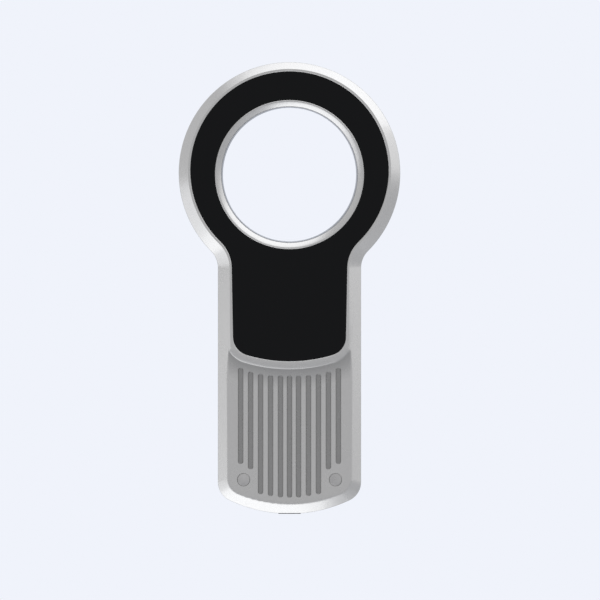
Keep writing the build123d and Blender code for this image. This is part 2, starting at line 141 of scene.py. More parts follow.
def plainFinish(name, colour, roughness, metallic=0.0, sockets=None):
    material = bpy.data.materials.new(name)
    material.use_nodes = True
    shader = material.node_tree.nodes["Principled BSDF"]
    shader.inputs["Base Color"].default_value = (*colour, 1)
    shader.inputs["Roughness"].default_value = roughness
    shader.inputs["Metallic"].default_value = metallic
    for socket, value in (sockets or {}).items():
        shader.inputs[socket].default_value = value
    return material


def node(tree, kind, inputs=None, **settings):
    made = tree.nodes.new(kind)
    for key, value in settings.items():
        setattr(made, key, value)
    for key, value in (inputs or {}).items():
        if isinstance(value, bpy.types.NodeSocket):
            tree.links.new(value, made.inputs[key])
        else:
            made.inputs[key].default_value = value
    return made


def objectPoint(tree, scale=(1, 1, 1)):
    coords = node(tree, "ShaderNodeTexCoord")
    return node(tree, "ShaderNodeMapping", {"Vector": coords.outputs["Object"], "Scale": scale}).outputs[0]


def noise(tree, size, detail=2.0, stretch=(1, 1, 1)):
    point = objectPoint(tree, stretch)
    inputs = {"Vector": point, "Scale": 1 / (size * mm), "Detail": detail}
    return node(tree, "ShaderNodeTexNoise", inputs).outputs["Fac"]


def flakes(tree, size):
    inputs = {"Vector": objectPoint(tree), "Scale": 1 / (size * mm)}
    pattern = node(tree, "ShaderNodeTexVoronoi", inputs)
    return node(tree, "ShaderNodeSeparateColor", {"Color": pattern.outputs["Color"]}).outputs[0]


def remap(tree, value, fromLow, fromHigh, toLow, toHigh, soft=False):
    inputs = {"Value": value, "From Min": fromLow, "From Max": fromHigh, "To Min": toLow, "To Max": toHigh}
    kind = "SMOOTHSTEP" if soft else "LINEAR"
    return node(tree, "ShaderNodeMapRange", inputs, interpolation_type=kind).outputs["Result"]


noiseRange = (0.3, 0.7)     # nearly all of a noise lies between these two


def spread(tree, value, low, high):
    # spreads a noise from low to high
    return remap(tree, value, *noiseRange, low, high)


def calculate(tree, operation, first, second=0.0):
    return node(tree, "ShaderNodeMath", {0: first, 1: second}, operation=operation).outputs[0]


def product(tree, first, *others):
    for other in others:
        first = calculate(tree, "MULTIPLY", first, other)
    return first


def stripe(tree, value, start, end):
    # rises from 0 to 1 between the two parts of start, and falls again between those of end
    return product(tree, remap(tree, value, *start, 0, 1), remap(tree, value, *end, 1, 0))


mixSockets = {"factor": 0, "dark": 6, "light": 7, "result": 2}     # of the mix node, when it mixes colours


def tint(tree, factor, dark, light):
    inputs = {mixSockets["factor"]: factor, mixSockets["dark"]: (*dark, 1), mixSockets["light"]: (*light, 1)}
    return node(tree, "ShaderNodeMix", inputs, data_type="RGBA").outputs[mixSockets["result"]]


def dim(tree, colour, factor):
    scaled = node(tree, "ShaderNodeVectorMath", {0: colour, "Scale": factor}, operation="SCALE")
    return scaled.outputs[0]


def connect(material, **sources):
    names = {"colour": "Base Color", "roughness": "Roughness", "normal": "Normal",
             "coatNormal": "Coat Normal"}
    tree = material.node_tree
    for key, source in sources.items():
        tree.links.new(source, tree.nodes["Principled BSDF"].inputs[names[key]])


def bump(tree, height, depth, under=None):
    # depth is in mm, under is a bump that this one lies on
    inputs = {"Height": height, "Distance": depth * mm}
    if under is not None:
        inputs["Normal"] = under
    return node(tree, "ShaderNodeBump", inputs).outputs[0]


def shades(colour, amount):
    # the colour a little darker and a little lighter
    return [tuple(part * (1 + sign * amount) for part in colour) for sign in (-1, 1)]


def mottledFinish(name, values):
    # an even finish whose shade, gloss and surface wander a little, at the sizes that the values give in mm
    material = plainFinish(name, values["colour"], values["roughness"], values.get("metallic", 0.0),
                           values.get("sockets"))
    tree = material.node_tree
    broad = noise(tree, values["patch"], 3)
    fine = noise(tree, values["grain"], 2)
    colour = tint(tree, spread(tree, broad, 0, 1), *shades(values["colour"], values["shade"]))
    swing = values["gloss"]
    gloss = spread(tree, broad, values["roughness"] - swing, values["roughness"] + swing)
    connect(material, colour=colour, roughness=gloss, normal=bump(tree, fine, values["relief"]))
    return material


# silver lacquer, the finish of both case halves

lacquer = {
    "colour": (0.412, 0.398, 0.371),
    "metallic": 0.85,
    "roughness": 0.27,
    "coat": 0.35,
    "coatRoughness": 0.08,
    "flake": 0.16,         # mm across
    "flakeShade": 0.05,
    "flakeHeight": 0.0006,
    "peel": 1.1,           # mm, the orange-peel waves of sprayed lacquer
    "peelHeight": 0.0022,
    "handled": 14,         # mm, patches that hands have polished or dulled
    "polished": 0.02,
    "dulled": 0.025,
    "groovePaintedShade": 0.57,   # painted shade in the grip's grooves, where shade falls in the recesses
    "hollowPaintedShade": 0.66,   # and painted shade in the hollow below the rim, where the step shades it
}

# the limits of the two zones of painted shade: between each pair, in mm, the painted shade comes in or goes
# out
# (depth is below zero at the back)
paintedShadeZone = {
    "side": (19.6, 20.2),            # beside the grooves
    "top": (-66.0, -64.0),           # over the grooves and the hollow
    "foot": (-120.5, -120.2),        # under the grooves, on the middle line
    "footBow": 104.0,                # the foot's limit rises by the square of across over this
    "groove": (-10.12, -9.75),       # from the grip's face down into a groove
    "inside": (-8.9, -8.6),          # the case's inner side, which isn't shaded
    "lip": (-10.95, -10.60),         # over the rim's rounded lip
    "hollow": (-10.58, -10.2),       # down the hollow
    "hollowPower": 0.5,
    "hollowSide": (22.3, 23.1),
    "hollowFoot": (-84.0, -82.0),
}


def zoneFade(tree, value, limits, fromShade, toShade, soft=False):
    return remap(tree, value, limits[0] * mm, limits[1] * mm, fromShade, toShade, soft)


def gripPaintedShade(tree):
    # painted shade: how much darker the lacquer's colour is painted in the grooves and in the hollow below
    # the rim, where shade falls
    place = node(tree, "ShaderNodeSeparateXYZ", {"Vector": objectPoint(tree)})
    across = calculate(tree, "ABSOLUTE", place.outputs[0])
    depth = place.outputs[1]
    height = place.outputs[2]
    below = zoneFade(tree, height, paintedShadeZone["top"], 1, 0)

    bow = calculate(tree, "DIVIDE", product(tree, across, across), paintedShadeZone["footBow"] * mm)
    overFoot = calculate(tree, "SUBTRACT", height, bow)
    groove = product(
        tree,
        zoneFade(tree, depth, paintedShadeZone["groove"], 0, 1, True),
        zoneFade(tree, depth, paintedShadeZone["inside"], 1, 0),
        zoneFade(tree, across, paintedShadeZone["side"], 1, 0),
        below,
        zoneFade(tree, overFoot, paintedShadeZone["foot"], 0, 1),
    )

    rise = zoneFade(tree, depth, paintedShadeZone["hollow"], 1, 0)
    hollow = product(
        tree,
        zoneFade(tree, depth, paintedShadeZone["lip"], 0, 1),
        calculate(tree, "POWER", rise, paintedShadeZone["hollowPower"]),
        zoneFade(tree, across, paintedShadeZone["hollowSide"], 1, 0, True),
        below,
        zoneFade(tree, height, paintedShadeZone["hollowFoot"], 0, 1),
    )
    # the painted shade of the grooves and of the hollow, as factors on the lacquer's colour
    paintedGrooveDark = remap(tree, groove, 0, 1, 1, lacquer["groovePaintedShade"])
    paintedHollowDark = remap(tree, hollow, 0, 1, 1, lacquer["hollowPaintedShade"])
    return product(tree, paintedGrooveDark, paintedHollowDark)


def silverLacquer():
    sockets = {"Coat Weight": lacquer["coat"], "Coat Roughness": lacquer["coatRoughness"]}
    roughness = lacquer["roughness"]
    material = plainFinish("silverLacquer", lacquer["colour"], roughness, lacquer["metallic"], sockets)
    tree = material.node_tree
    flake = flakes(tree, lacquer["flake"])
    colour = tint(tree, flake, *shades(lacquer["colour"], lacquer["flakeShade"]))
    handled = noise(tree, lacquer["handled"], 3)
    gloss = spread(tree, handled, roughness - lacquer["polished"], roughness + lacquer["dulled"])
    peel = bump(tree, noise(tree, lacquer["peel"], 1), lacquer["peelHeight"])
    grain = bump(tree, flake, lacquer["flakeHeight"], peel)
    # the lacquer's colour is dimmed by painted shade in the grooves and in the hollow below the rim
    shaded = dim(tree, colour, gripPaintedShade(tree))
    connect(material, colour=shaded, roughness=gloss, normal=grain, coatNormal=peel)
    return material


# gloss black, the finish of the two plates

pianoBlack = {
    "colour": (0.0026, 0.0026, 0.0026),
    "roughness": 0.07,
    "specular": 0.08,
    "smudge": 9.0,               # mm across
    "smudgeFrom": (0.42, 0.7),   # how much of the plate is smudged
    "smudgeGloss": 0.08,
    "dust": 0.35,                # mm across
    "dustFrom": (0.72, 0.80),
    "dustColour": (0.006, 0.006, 0.0063),
    "wave": 6,                   # mm, slow waves of the moulded face
    "waveHeight": 0.002,
}


def glossBlack():
    roughness = pianoBlack["roughness"]
    sockets = {"Specular IOR Level": pianoBlack["specular"]}
    material = plainFinish("glossBlack", pianoBlack["colour"], roughness, 0.0, sockets)
    tree = material.node_tree
    smudge = noise(tree, pianoBlack["smudge"], 4)
    dust = remap(tree, noise(tree, pianoBlack["dust"], 1), *pianoBlack["dustFrom"], 0, 1)
    gloss = remap(tree, smudge, *pianoBlack["smudgeFrom"], roughness, roughness + pianoBlack["smudgeGloss"])
    colour = tint(tree, dust, pianoBlack["colour"], pianoBlack["dustColour"])
    waves = bump(tree, noise(tree, pianoBlack["wave"], 0), pianoBlack["waveHeight"])
    connect(material, colour=colour, roughness=gloss, normal=waves)
    return material


# satin metal with fine turning lines round the ring's axis

turned = {
    "colour": (0.42, 0.425, 0.435),
    "metallic": 0.9,
    "roughness": 0.24,
    "smoother": 0.04,
    "rougher": 0.06,
    "line": 0.09,          # mm, from line to line
    "round": 0.05,         # how little the lines change on their way round
    "lineShade": 0.06,
    "lineHeight": 0.0015,
}


def turnedSilver():
    roughness = turned["roughness"]
    material = plainFinish("turnedSilver", turned["colour"], roughness, turned["metallic"])
    tree = material.node_tree
    lines = noise(tree, 1.0, 2, (turned["round"], 1 / turned["line"], turned["round"]))
    gloss = spread(tree, lines, roughness - turned["smoother"], roughness + turned["rougher"])
    colour = tint(tree, lines, *shades(turned["colour"], turned["lineShade"]))
    connect(material, colour=colour, roughness=gloss, normal=bump(tree, lines, turned["lineHeight"]))
    return material


# shapes: small helpers that the pieces share

usualSharp = 34.0     # degrees, an edge that turns by more stays crisp
seamGap = 0.0008      # mm, points nearer than this become one
cutGap = 0.0005       # mm, the same for a piece that something was cut out of
onAxis = 0.001        # mm, how near to its axis a turned outline starts


def meshFrom(name, points, faces, sharpAngle=usualSharp):
    mesh = bpy.data.meshes.new(name)
    mesh.from_pydata(points, [], faces)
    shape = bmesh.new()
    shape.from_mesh(mesh)
    bmesh.ops.remove_doubles(shape, verts=shape.verts, dist=seamGap * mm)
    bmesh.ops.recalc_face_normals(shape, faces=shape.faces)
    softenShape(shape, sharpAngle)
    shape.to_mesh(mesh)
    shape.free()
    return mesh


def softenShape(shape, sharpAngle):
    limit = math.radians(sharpAngle)
    for face in shape.faces:
        face.smooth = True
    for edge in shape.edges:
        edge.smooth = len(edge.link_faces) == 2 and edge.calc_face_angle(math.pi) < limit


# the lower edge of the lip below the inlay: its depth and its heights in mm, its least turn in degrees
lipEdge = {"depth": -10.58, "within": 0.004, "low": -84.0, "high": -60.0, "turn": 9.0}


def creaseLip(mesh):
    # keeps that edge crisp, though it turns by only a few degrees
    shape = bmesh.new()
    shape.from_mesh(mesh)
    for edge in shape.edges:
        onEdge = all(abs(end.co.y - lipEdge["depth"] * mm) < lipEdge["within"] * mm for end in edge.verts)
        onGrip = all(lipEdge["low"] * mm < end.co.z < lipEdge["high"] * mm for end in edge.verts)
        if onEdge and onGrip and edge.calc_face_angle(0.0) > math.radians(lipEdge["turn"]):
            edge.smooth = False
    shape.to_mesh(mesh)
    shape.free()


def evenNormals(piece):
    # weighted normals, so that flats stay flat beside the small rounds
    modifier = piece.modifiers.new("evenNormals", "WEIGHTED_NORMAL")
    modifier.keep_sharp = True
    bakeModifiers(piece)


def bakeModifiers(piece):
    graph = bpy.context.evaluated_depsgraph_get()
    mesh = bpy.data.meshes.new_from_object(piece.evaluated_get(graph))
    piece.modifiers.clear()
    piece.data = mesh


def settle(piece, body, slot, *standsFor):
    # the last step of every piece: its finish, its body, its slot and the nodes that it stands for
    piece.data.materials.clear()
    piece.data.materials.append(finishes[slot])
    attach(piece, body)
    if standsFor:
        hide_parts(*standsFor)
    return piece


def refined(nodeName, pieceName, body, slot, sharpAngle=usualSharp, crease=None):
    # a cleaned copy of a CAD mesh: joined at its seams, with smooth rounds and crisp edges
    source = nodes[nodeName].data
    points = [tuple(vertex.co) for vertex in source.vertices]
    faces = [tuple(polygon.vertices) for polygon in source.polygons]
    piece = addObject(pieceName, meshFrom(pieceName, points, faces, sharpAngle))
    if crease is not None:
        crease(piece.data)
    evenNormals(piece)
    return settle(piece, body, slot, nodeName)


def roundedLoop(points, steps=5):
    # a closed outline in mm, each corner given as (radius from the axis, depth, rounding)
    loop = []
    count = len(points)
    for index, (radius, depth, rounding) in enumerate(points):
        corner = Vector((radius, depth))
        if not rounding:
            loop.append(corner)
            continue
        before = (Vector(points[index - 1][:2]) - corner).normalized()
        after = (Vector(points[(index + 1) % count][:2]) - corner).normalized()
        half = before.angle(after) / 2
        reach = rounding / math.tan(half)
        centre = corner + (before + after).normalized() * rounding / math.sin(half)
        start = corner + before * reach - centre
        sweep = start.angle_signed(corner + after * reach - centre)
        for step in range(steps + 1):
            arm = start.copy()
            arm.rotate(Matrix.Rotation(-sweep * step / steps, 2))
            loop.append(centre + arm)
    return loop


def lathe(name, outline, centre=(0, 0, 0), steps=128, closed=True, wave=None, sharpAngle=usualSharp):
    # turns an outline of (radius, depth) points in mm about a line along Y through centre;
    # wave may change the radius on the way round
    rows = []
    points = []
    for radius, depth in outline:
        rows.append(len(points))
        for step in range(steps):
            angle = 2 * math.pi * step / steps
            reach = radius if wave is None else wave(radius, depth, angle)
            across = centre[0] + reach * math.cos(angle)
            up = centre[2] + reach * math.sin(angle)
            points.append((across * mm, (centre[1] + depth) * mm, up * mm))
    faces = []
    pairs = list(zip(rows, rows[1:]))
    if closed:
        pairs.append((rows[-1], rows[0]))
    for first, second in pairs:
        for step in range(steps):
            following = (step + 1) % steps
            faces.append((first + step, first + following, second + following, second + step))
    return addObject(name, meshFrom(name, points, faces, sharpAngle))


def cutAway(piece, cutter, sharpAngle=usualSharp):
    # takes the cutter's shape out of the piece
    modifier = piece.modifiers.new("cut", "BOOLEAN")
    modifier.object = cutter
    modifier.operation = "DIFFERENCE"
    modifier.solver = "EXACT"
    bakeModifiers(piece)
    bpy.data.objects.remove(cutter)
    shape = bmesh.new()
    shape.from_mesh(piece.data)
    bmesh.ops.remove_doubles(shape, verts=shape.verts, dist=cutGap * mm)
    softenShape(shape, sharpAngle)
    shape.to_mesh(piece.data)
    shape.free()


def block(name, low, high, rounding=0.0, sharpAngle=usualSharp):
    # a block between two corners in mm, with its edges rounded
    corners = [(x, y, z) for x in (low[0], high[0]) for y in (low[1], high[1]) for z in (low[2], high[2])]
    points = [tuple(part * mm for part in corner) for corner in corners]
    faces = [(0, 1, 3, 2), (4, 6, 7, 5), (0, 4, 5, 1), (2, 3, 7, 6), (0, 2, 6, 4), (1, 5, 7, 3)]
    mesh = meshFrom(name, points, faces, sharpAngle)
    if rounding:
        shape = bmesh.new()
        shape.from_mesh(mesh)
        edges = shape.edges[:]
        bmesh.ops.bevel(shape, geom=edges, offset=rounding * mm, segments=3, profile=0.5, affect="EDGES")
        softenShape(shape, sharpAngle)
        shape.to_mesh(mesh)
        shape.free()
    return addObject(name, mesh)


def bentStrip(name, path, thickness, width):
    # a flat strip, width wide along Z, that follows (across, depth) points in mm
    points = []
    for index, here in enumerate(path):
        before = Vector(path[max(index - 1, 0)])
        after = Vector(path[min(index + 1, len(path) - 1)])
        along = (after - before).normalized()
        side = Vector((-along.y, along.x)) * thickness / 2
        for sign, edge in ((-1, -1), (1, -1), (1, 1), (-1, 1)):
            across, depth = Vector(here) + side * sign
            points.append((across * mm, depth * mm, edge * width / 2 * mm))
    faces = [(0, 1, 2, 3)]
    for section in range(len(path) - 1):
        first = section * 4
        for corner in range(4):
            following = (corner + 1) % 4
            faces.append((first + corner, first + following, first + 4 + following, first + 4 + corner))
    last = (len(path) - 1) * 4
    faces.append((last + 3, last + 2, last + 1, last))
    return addObject(name, meshFrom(name, points, faces))


# Geometry Nodes: one tree that repeats a part at places, one that winds the antenna

def newTree(name, inputs):
    tree = bpy.data.node_groups.new(name, "GeometryNodeTree")
    tree.is_modifier = True
    for label, kind in inputs.items():
        tree.interface.new_socket(label, in_out="INPUT", socket_type="NodeSocket" + kind)
    tree.interface.new_socket("Result", in_out="OUTPUT", socket_type="NodeSocketGeometry")
    return tree, node(tree, "NodeGroupInput").outputs


def finishTree(tree, geometry, material):
    real = node(tree, "GeometryNodeRealizeInstances", {"Geometry": geometry})
    done = node(tree, "GeometryNodeSetMaterial", {"Geometry": real.outputs[0], "Material": material})
    node(tree, "NodeGroupOutput", {"Result": done.outputs[0]})


def repeatTree():
    # copies of a part at points, each turned about Y by its point's own angle
    tree, given = newTree("repeatAtPlaces", {"Places": "Geometry", "Part": "Object", "Finish": "Material"})
    part = node(tree, "GeometryNodeObjectInfo", {"Object": given["Part"]})
    turn = node(tree, "GeometryNodeInputNamedAttribute", {"Name": "turn"}, data_type="FLOAT")
    angles = node(tree, "ShaderNodeCombineXYZ", {"Y": turn.outputs["Attribute"]})
    sources = {"Points": given["Places"], "Instance": part.outputs["Geometry"],
               "Rotation": angles.outputs[0]}
    copies = node(tree, "GeometryNodeInstanceOnPoints", sources)
    finishTree(tree, copies.outputs[0], given["Finish"])
    return tree


def windingTree():
    # a grid of points, one for each turn of the wire, becomes circles, which then get the wire's thickness
    inputs = {"Wire": "Float", "Mean radius": "Float", "Layers": "Int", "Turns": "Int", "Pitch": "Float",
              "Steps": "Int", "Finish": "Material"}
    tree, given = newTree("windTurns", inputs)
    gaps = [calculate(tree, "SUBTRACT", given[name], 1.0) for name in ("Layers", "Turns")]
    spans = [calculate(tree, "MULTIPLY", count, given["Pitch"]) for count in gaps]
    sources = {"Size X": spans[0], "Size Y": spans[1], "Vertices X": given["Layers"],
               "Vertices Y": given["Turns"]}
    grid = node(tree, "GeometryNodeMeshGrid", sources)
    position = node(tree, "GeometryNodeInputPosition")
    place = node(tree, "ShaderNodeSeparateXYZ", {0: position.outputs[0]})
    radius = calculate(tree, "ADD", place.outputs[0], given["Mean radius"])
    sources = {"Geometry": grid.outputs[0], "Name": "radius", "Value": radius}
    kept = node(tree, "GeometryNodeStoreNamedAttribute", sources, data_type="FLOAT")
    axis = node(tree, "ShaderNodeCombineXYZ", {"Y": place.outputs[1]})
    sources = {"Geometry": kept.outputs[0], "Position": axis.outputs[0]}
    centres = node(tree, "GeometryNodeSetPosition", sources)
    ring = node(tree, "GeometryNodeCurvePrimitiveCircle", {"Resolution": given["Steps"], "Radius": 1.0})
    sources = {"Geometry": ring.outputs[0], "Rotation": (math.pi / 2, 0, 0)}
    upright = node(tree, "GeometryNodeTransform", sources)
    size = node(tree, "GeometryNodeInputNamedAttribute", {"Name": "radius"}, data_type="FLOAT")
    sources = {"Points": centres.outputs[0], "Scale": size.outputs[0], "Instance": upright.outputs[0]}
    turns = node(tree, "GeometryNodeInstanceOnPoints", sources)
    curves = node(tree, "GeometryNodeRealizeInstances", {"Geometry": turns.outputs[0]})
    section = node(tree, "GeometryNodeCurvePrimitiveCircle", {"Resolution": 5, "Radius": given["Wire"]})
    sources = {"Curve": curves.outputs[0], "Profile Curve": section.outputs[0]}
    wire = node(tree, "GeometryNodeCurveToMesh", sources)
    smooth = node(tree, "GeometryNodeSetShadeSmooth", {"Geometry": wire.outputs[0]})
    finishTree(tree, smooth.outputs[0], given["Finish"])
    return tree


def runTree(name, tree, mesh, values):
    piece = addObject(name, mesh)
    modifier = piece.modifiers.new(tree.name, "NODES")
    modifier.node_group = tree
    for item in tree.interface.items_tree:
        if item.name in values:
            modifier[item.identifier] = values[item.name]
    bakeModifiers(piece)
    return piece


def repeatPart(name, part, places, material, turns=None):
    # one plain mesh with a copy of the part at every place, given in mm, each turned about Y by its angle
    mesh = bpy.data.meshes.new(name)
    mesh.from_pydata([tuple(value * mm for value in place) for place in places], [], [])
    turn = mesh.attributes.new("turn", "FLOAT", "POINT")
    turn.data.foreach_set("value", turns or [0.0] * len(places))
    piece = runTree(name, repeater, mesh, {"Part": part, "Finish": material})
    bpy.data.objects.remove(part)
    return piece


repeater = repeatTree()
winder = windingTree()


# even finishes, one for each of the record's slots that needs no pattern of its own

steel = {"metallic": 0.95, "patch": 1.2, "grain": 0.12, "shade": 0.10, "gloss": 0.06, "relief": 0.002}
moulded = {"patch": 5, "grain": 0.14, "shade": 0.08, "gloss": 0.05, "relief": 0.006}
evenFinishes = {
    "plug_silver": {**moulded, "colour": (0.370, 0.357, 0.335), "roughness": 0.30, "metallic": 0.85},
    "adhesive_tape": {**moulded, "colour": (0.58, 0.58, 0.55), "roughness": 0.7, "grain": 0.5,
                      "shade": 0.12},
    "screw_steel": {**steel, "colour": (0.50, 0.50, 0.49), "roughness": 0.30},
    "insert_brass": {**steel, "colour": (0.76, 0.55, 0.23), "roughness": 0.28},
    "bezel_chrome": {**steel, "colour": (0.78, 0.79, 0.80), "roughness": 0.10, "gloss": 0.03, "shade": 0.02,
                     "relief": 0.0004},
    "button_plastic": {**moulded, "colour": (0.060, 0.062, 0.066), "roughness": 0.52, "relief": 0.010,
                       "grain": 0.22, "sockets": {"Sheen Weight": 0.15, "Sheen Roughness": 0.4}},
    "switch_plastic": {**moulded, "colour": (0.022, 0.022, 0.023), "roughness": 0.42},
    "black_moulding": {**moulded, "colour": (0.020, 0.020, 0.021), "roughness": 0.40},
    "white_moulding": {**moulded, "colour": (0.74, 0.73, 0.68), "roughness": 0.38},
    "foam": {**moulded, "colour": (0.035, 0.035, 0.038), "roughness": 0.95, "grain": 0.35, "relief": 0.09},
    "chip_black": {**moulded, "colour": (0.028, 0.028, 0.030), "roughness": 0.55, "grain": 0.06},
    "can_metal": {**steel, "colour": (0.66, 0.66, 0.64), "roughness": 0.24},
    "ferrite": {**moulded, "colour": (0.075, 0.075, 0.078), "roughness": 0.70, "relief": 0.012},
    "capacitor_tan": {**moulded, "colour": (0.50, 0.36, 0.22), "roughness": 0.42, "patch": 0.8,
                      "grain": 0.08},
    "resistor_black": {**moulded, "colour": (0.018, 0.018, 0.020), "roughness": 0.32, "patch": 0.8},
    "coil_copper": {**steel, "colour": (0.62, 0.22, 0.075), "roughness": 0.26, "patch": 3.0,
                    "sockets": {"Coat Weight": 0.7, "Coat Roughness": 0.12}},
    "cell_foil": {**steel, "colour": (0.60, 0.61, 0.63), "roughness": 0.34, "patch": 6, "grain": 2.4,
                  "relief": 0.05, "shade": 0.05},
    "lead_red": {**moulded, "colour": (0.46, 0.018, 0.014), "roughness": 0.38},
}


windowSet = {"colour": (0.16, 0.17, 0.19), "roughness": 0.03, "bending": 1.49, "smear": 7,
             "smearFrom": (0.45, 0.7), "smearGloss": (0.02, 0.08), "wave": 9, "waveHeight": 0.001}


def smokedWindow():
    # tinted acrylic: dark, clear, with the faintest smear
    sockets = {"Transmission Weight": 1.0, "IOR": windowSet["bending"]}
    material = plainFinish("smokedWindow", windowSet["colour"], windowSet["roughness"], 0.0, sockets)
    tree = material.node_tree
    smear = noise(tree, windowSet["smear"], 3)
    gloss = remap(tree, smear, *windowSet["smearFrom"], *windowSet["smearGloss"])
    waves = bump(tree, noise(tree, windowSet["wave"], 0), windowSet["waveHeight"])
    connect(material, roughness=gloss, normal=waves)
    return material


guideSet = {"colour": (0.86, 0.87, 0.86), "roughness": 0.35, "clear": 0.6, "cloud": 1.5,
            "cloudGloss": (0.28, 0.45), "frost": 0.2, "frostHeight": 0.006}


def frostedGuide():
    sockets = {"Transmission Weight": guideSet["clear"]}
    material = plainFinish("frostedGuide", guideSet["colour"], guideSet["roughness"], 0.0, sockets)
    tree = material.node_tree
    gloss = spread(tree, noise(tree, guideSet["cloud"], 3), *guideSet["cloudGloss"])
    frost = bump(tree, noise(tree, guideSet["frost"], 1), guideSet["frostHeight"])
    connect(material, roughness=gloss, normal=frost)
    return material


def cells(tree, axis, pitch):
    # how far along its cell a point lies, 0 to 1, in cells of the pitch in mm along the axis
    place = node(tree, "ShaderNodeSeparateXYZ", {"Vector": objectPoint(tree)})
    return calculate(tree, "FRACT", calculate(tree, "DIVIDE", place.outputs[axis], pitch * mm))


displaySet = {"dark": (0.020, 0.026, 0.024), "light": (0.034, 0.042, 0.038), "roughness": 0.16,
              "dot": 0.24, "edge": (0.08, 0.16), "dotHeight": 0.001, "cloud": 12, "cloudGloss": (0.12, 0.22)}


def displayGlass():
    # the sleeping display's dots, a fine grid of squares
    material = plainFinish("displayGlass", displaySet["light"], displaySet["roughness"])
    tree = material.node_tree
    acrossAndUp = [cells(tree, axis, displaySet["dot"]) for axis in (0, 2)]
    dots = product(tree, *[remap(tree, cell, *displaySet["edge"], 0, 1) for cell in acrossAndUp])
    colour = tint(tree, dots, displaySet["dark"], displaySet["light"])
    gloss = spread(tree, noise(tree, displaySet["cloud"], 2), *displaySet["cloudGloss"])
    connect(material, colour=colour, roughness=gloss, normal=bump(tree, dots, displaySet["dotHeight"]))
    return material


ribbonSet = {"film": (0.46, 0.20, 0.035), "copper": (0.66, 0.30, 0.10), "roughness": 0.30, "pitch": 0.5,
             "lineStart": (0.22, 0.30), "lineEnd": (0.70, 0.78), "lineHeight": 0.01,
             "cloud": 3, "cloudGloss": (0.24, 0.38)}


def ribbonFilm():
    # amber film with copper lines along it
    material = plainFinish("ribbonFilm", ribbonSet["film"], ribbonSet["roughness"])
    tree = material.node_tree
    line = stripe(tree, cells(tree, 0, ribbonSet["pitch"]), ribbonSet["lineStart"], ribbonSet["lineEnd"])
    colour = tint(tree, line, ribbonSet["film"], ribbonSet["copper"])
    gloss = spread(tree, noise(tree, ribbonSet["cloud"], 2), *ribbonSet["cloudGloss"])
    connect(material, colour=colour, roughness=gloss, normal=bump(tree, line, ribbonSet["lineHeight"]))
    return material


boardSet = {"mask": (0.004, 0.070, 0.024), "trace": (0.014, 0.17, 0.060), "roughness": 0.30, "coat": 0.3,
            "cell": 5.5, "runs": 5.0, "runStart": (0.35, 0.42), "runEnd": (0.70, 0.77), "runHeight": 0.012,
            "cloud": 2, "cloudGloss": (0.24, 0.36)}


def boardGreen():
    # green solder mask over paler copper runs
    sockets = {"Coat Weight": boardSet["coat"]}
    material = plainFinish("boardGreen", boardSet["mask"], boardSet["roughness"], 0.0, sockets)
    tree = material.node_tree
    inputs = {"Vector": objectPoint(tree), "Scale": 1 / (boardSet["cell"] * mm)}
    patches = node(tree, "ShaderNodeTexVoronoi", inputs, distance="MANHATTAN", feature="F1")
    rings = calculate(tree, "FRACT", product(tree, patches.outputs["Distance"], boardSet["runs"]))
    run = stripe(tree, rings, boardSet["runStart"], boardSet["runEnd"])
    colour = tint(tree, run, boardSet["mask"], boardSet["trace"])
    gloss = spread(tree, noise(tree, boardSet["cloud"], 2), *boardSet["cloudGloss"])
    connect(material, colour=colour, roughness=gloss, normal=bump(tree, run, boardSet["runHeight"]))
    return material


print("stage 1: camera, lamps and floor")
makeCamera()
makeLamps()
makeSurround()

finishes = {slot: mottledFinish(slot, values) for slot, values in evenFinishes.items()}
finishes.update({
    "silver_paint": silverLacquer(),
    "gloss_black": glossBlack(),
    "liner_silver": turnedSilver(),
    "smoked_window": smokedWindow(),
    "light_guide_clear": frostedGuide(),
    "display_glass": displayGlass(),
    "ribbon_film": ribbonFilm(),
    "board_green": boardGreen(),
})

print("stage 2: case halves and plates")
refined("rear_shell", "rearShell", "case", "silver_paint", crease=creaseLip)
refined("front_shell", "frontShell", "case", "silver_paint")
refined("rear_inlay", "rearInlay", "case", "gloss_black")
refined("front_panel", "frontPanel", "case", "gloss_black")
refined("display_window", "displayWindow", "case", "smoked_window")


print("stage 3: ring liner, plugs, button and its bezel")


def depths(nodeName):
    # lowest and highest depth of a node, in mm
    low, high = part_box(nodeName)
    return low.y / mm, high.y / mm


linerSet = {"inner": 24.65, "outer": 25.29, "rounding": 0.2}


def makeLiner():
    near, far = depths("ring_liner")
    inner, outer, rounding = linerSet["inner"], linerSet["outer"], linerSet["rounding"]
    section = [(inner, near), (outer, near), (outer, far), (inner, far)]
    outline = roundedLoop([(*corner, rounding) for corner in section], 6)
    liner = lathe("ringLiner", outline, steps=192)
    settle(liner, "case", "liner_silver", "ring_liner")


plugSet = {"x": 17.0, "z": -112.9, "radius": 2.32, "wall": 0.7, "floor": 0.9, "rounding": 0.18,
           "crown": 0.03, "edge": 0.1, "floorRounding": 0.2}


def makePlugs():
    # moulded caps: a barely domed face, a rounded edge and a hollow back
    near, far = depths("screw_plugs")
    radius, edge = plugSet["radius"], plugSet["edge"]
    hollow = radius - plugSet["wall"]
    floor = near + plugSet["floor"]
    rim = [(onAxis, near, 0), (radius, near + plugSet["crown"], plugSet["rounding"]), (radius, far, edge),
           (hollow, far, edge), (hollow, floor, plugSet["floorRounding"]), (onAxis, floor, 0)]
    part = lathe("plugPart", roundedLoop(rim), steps=72, closed=False)
    places = [(side * plugSet["x"], 0, plugSet["z"]) for side in (-1, 1)]
    plugs = repeatPart("screwPlugs", part, places, finishes["plug_silver"])
    settle(plugs, "case", "plug_silver", "screw_plugs")


buttonSet = {"z": -90.0, "radius": 7.0, "rounding": 0.5, "dish": 0.45, "below": 0.02, "flange": 8.4,
             "flangeThick": 0.9, "well": (2.2, 5.9), "wellDepth": 9.8}
ridges = {"count": 3, "first": 2.6, "step": 1.1, "height": 0.12, "width": 0.16}


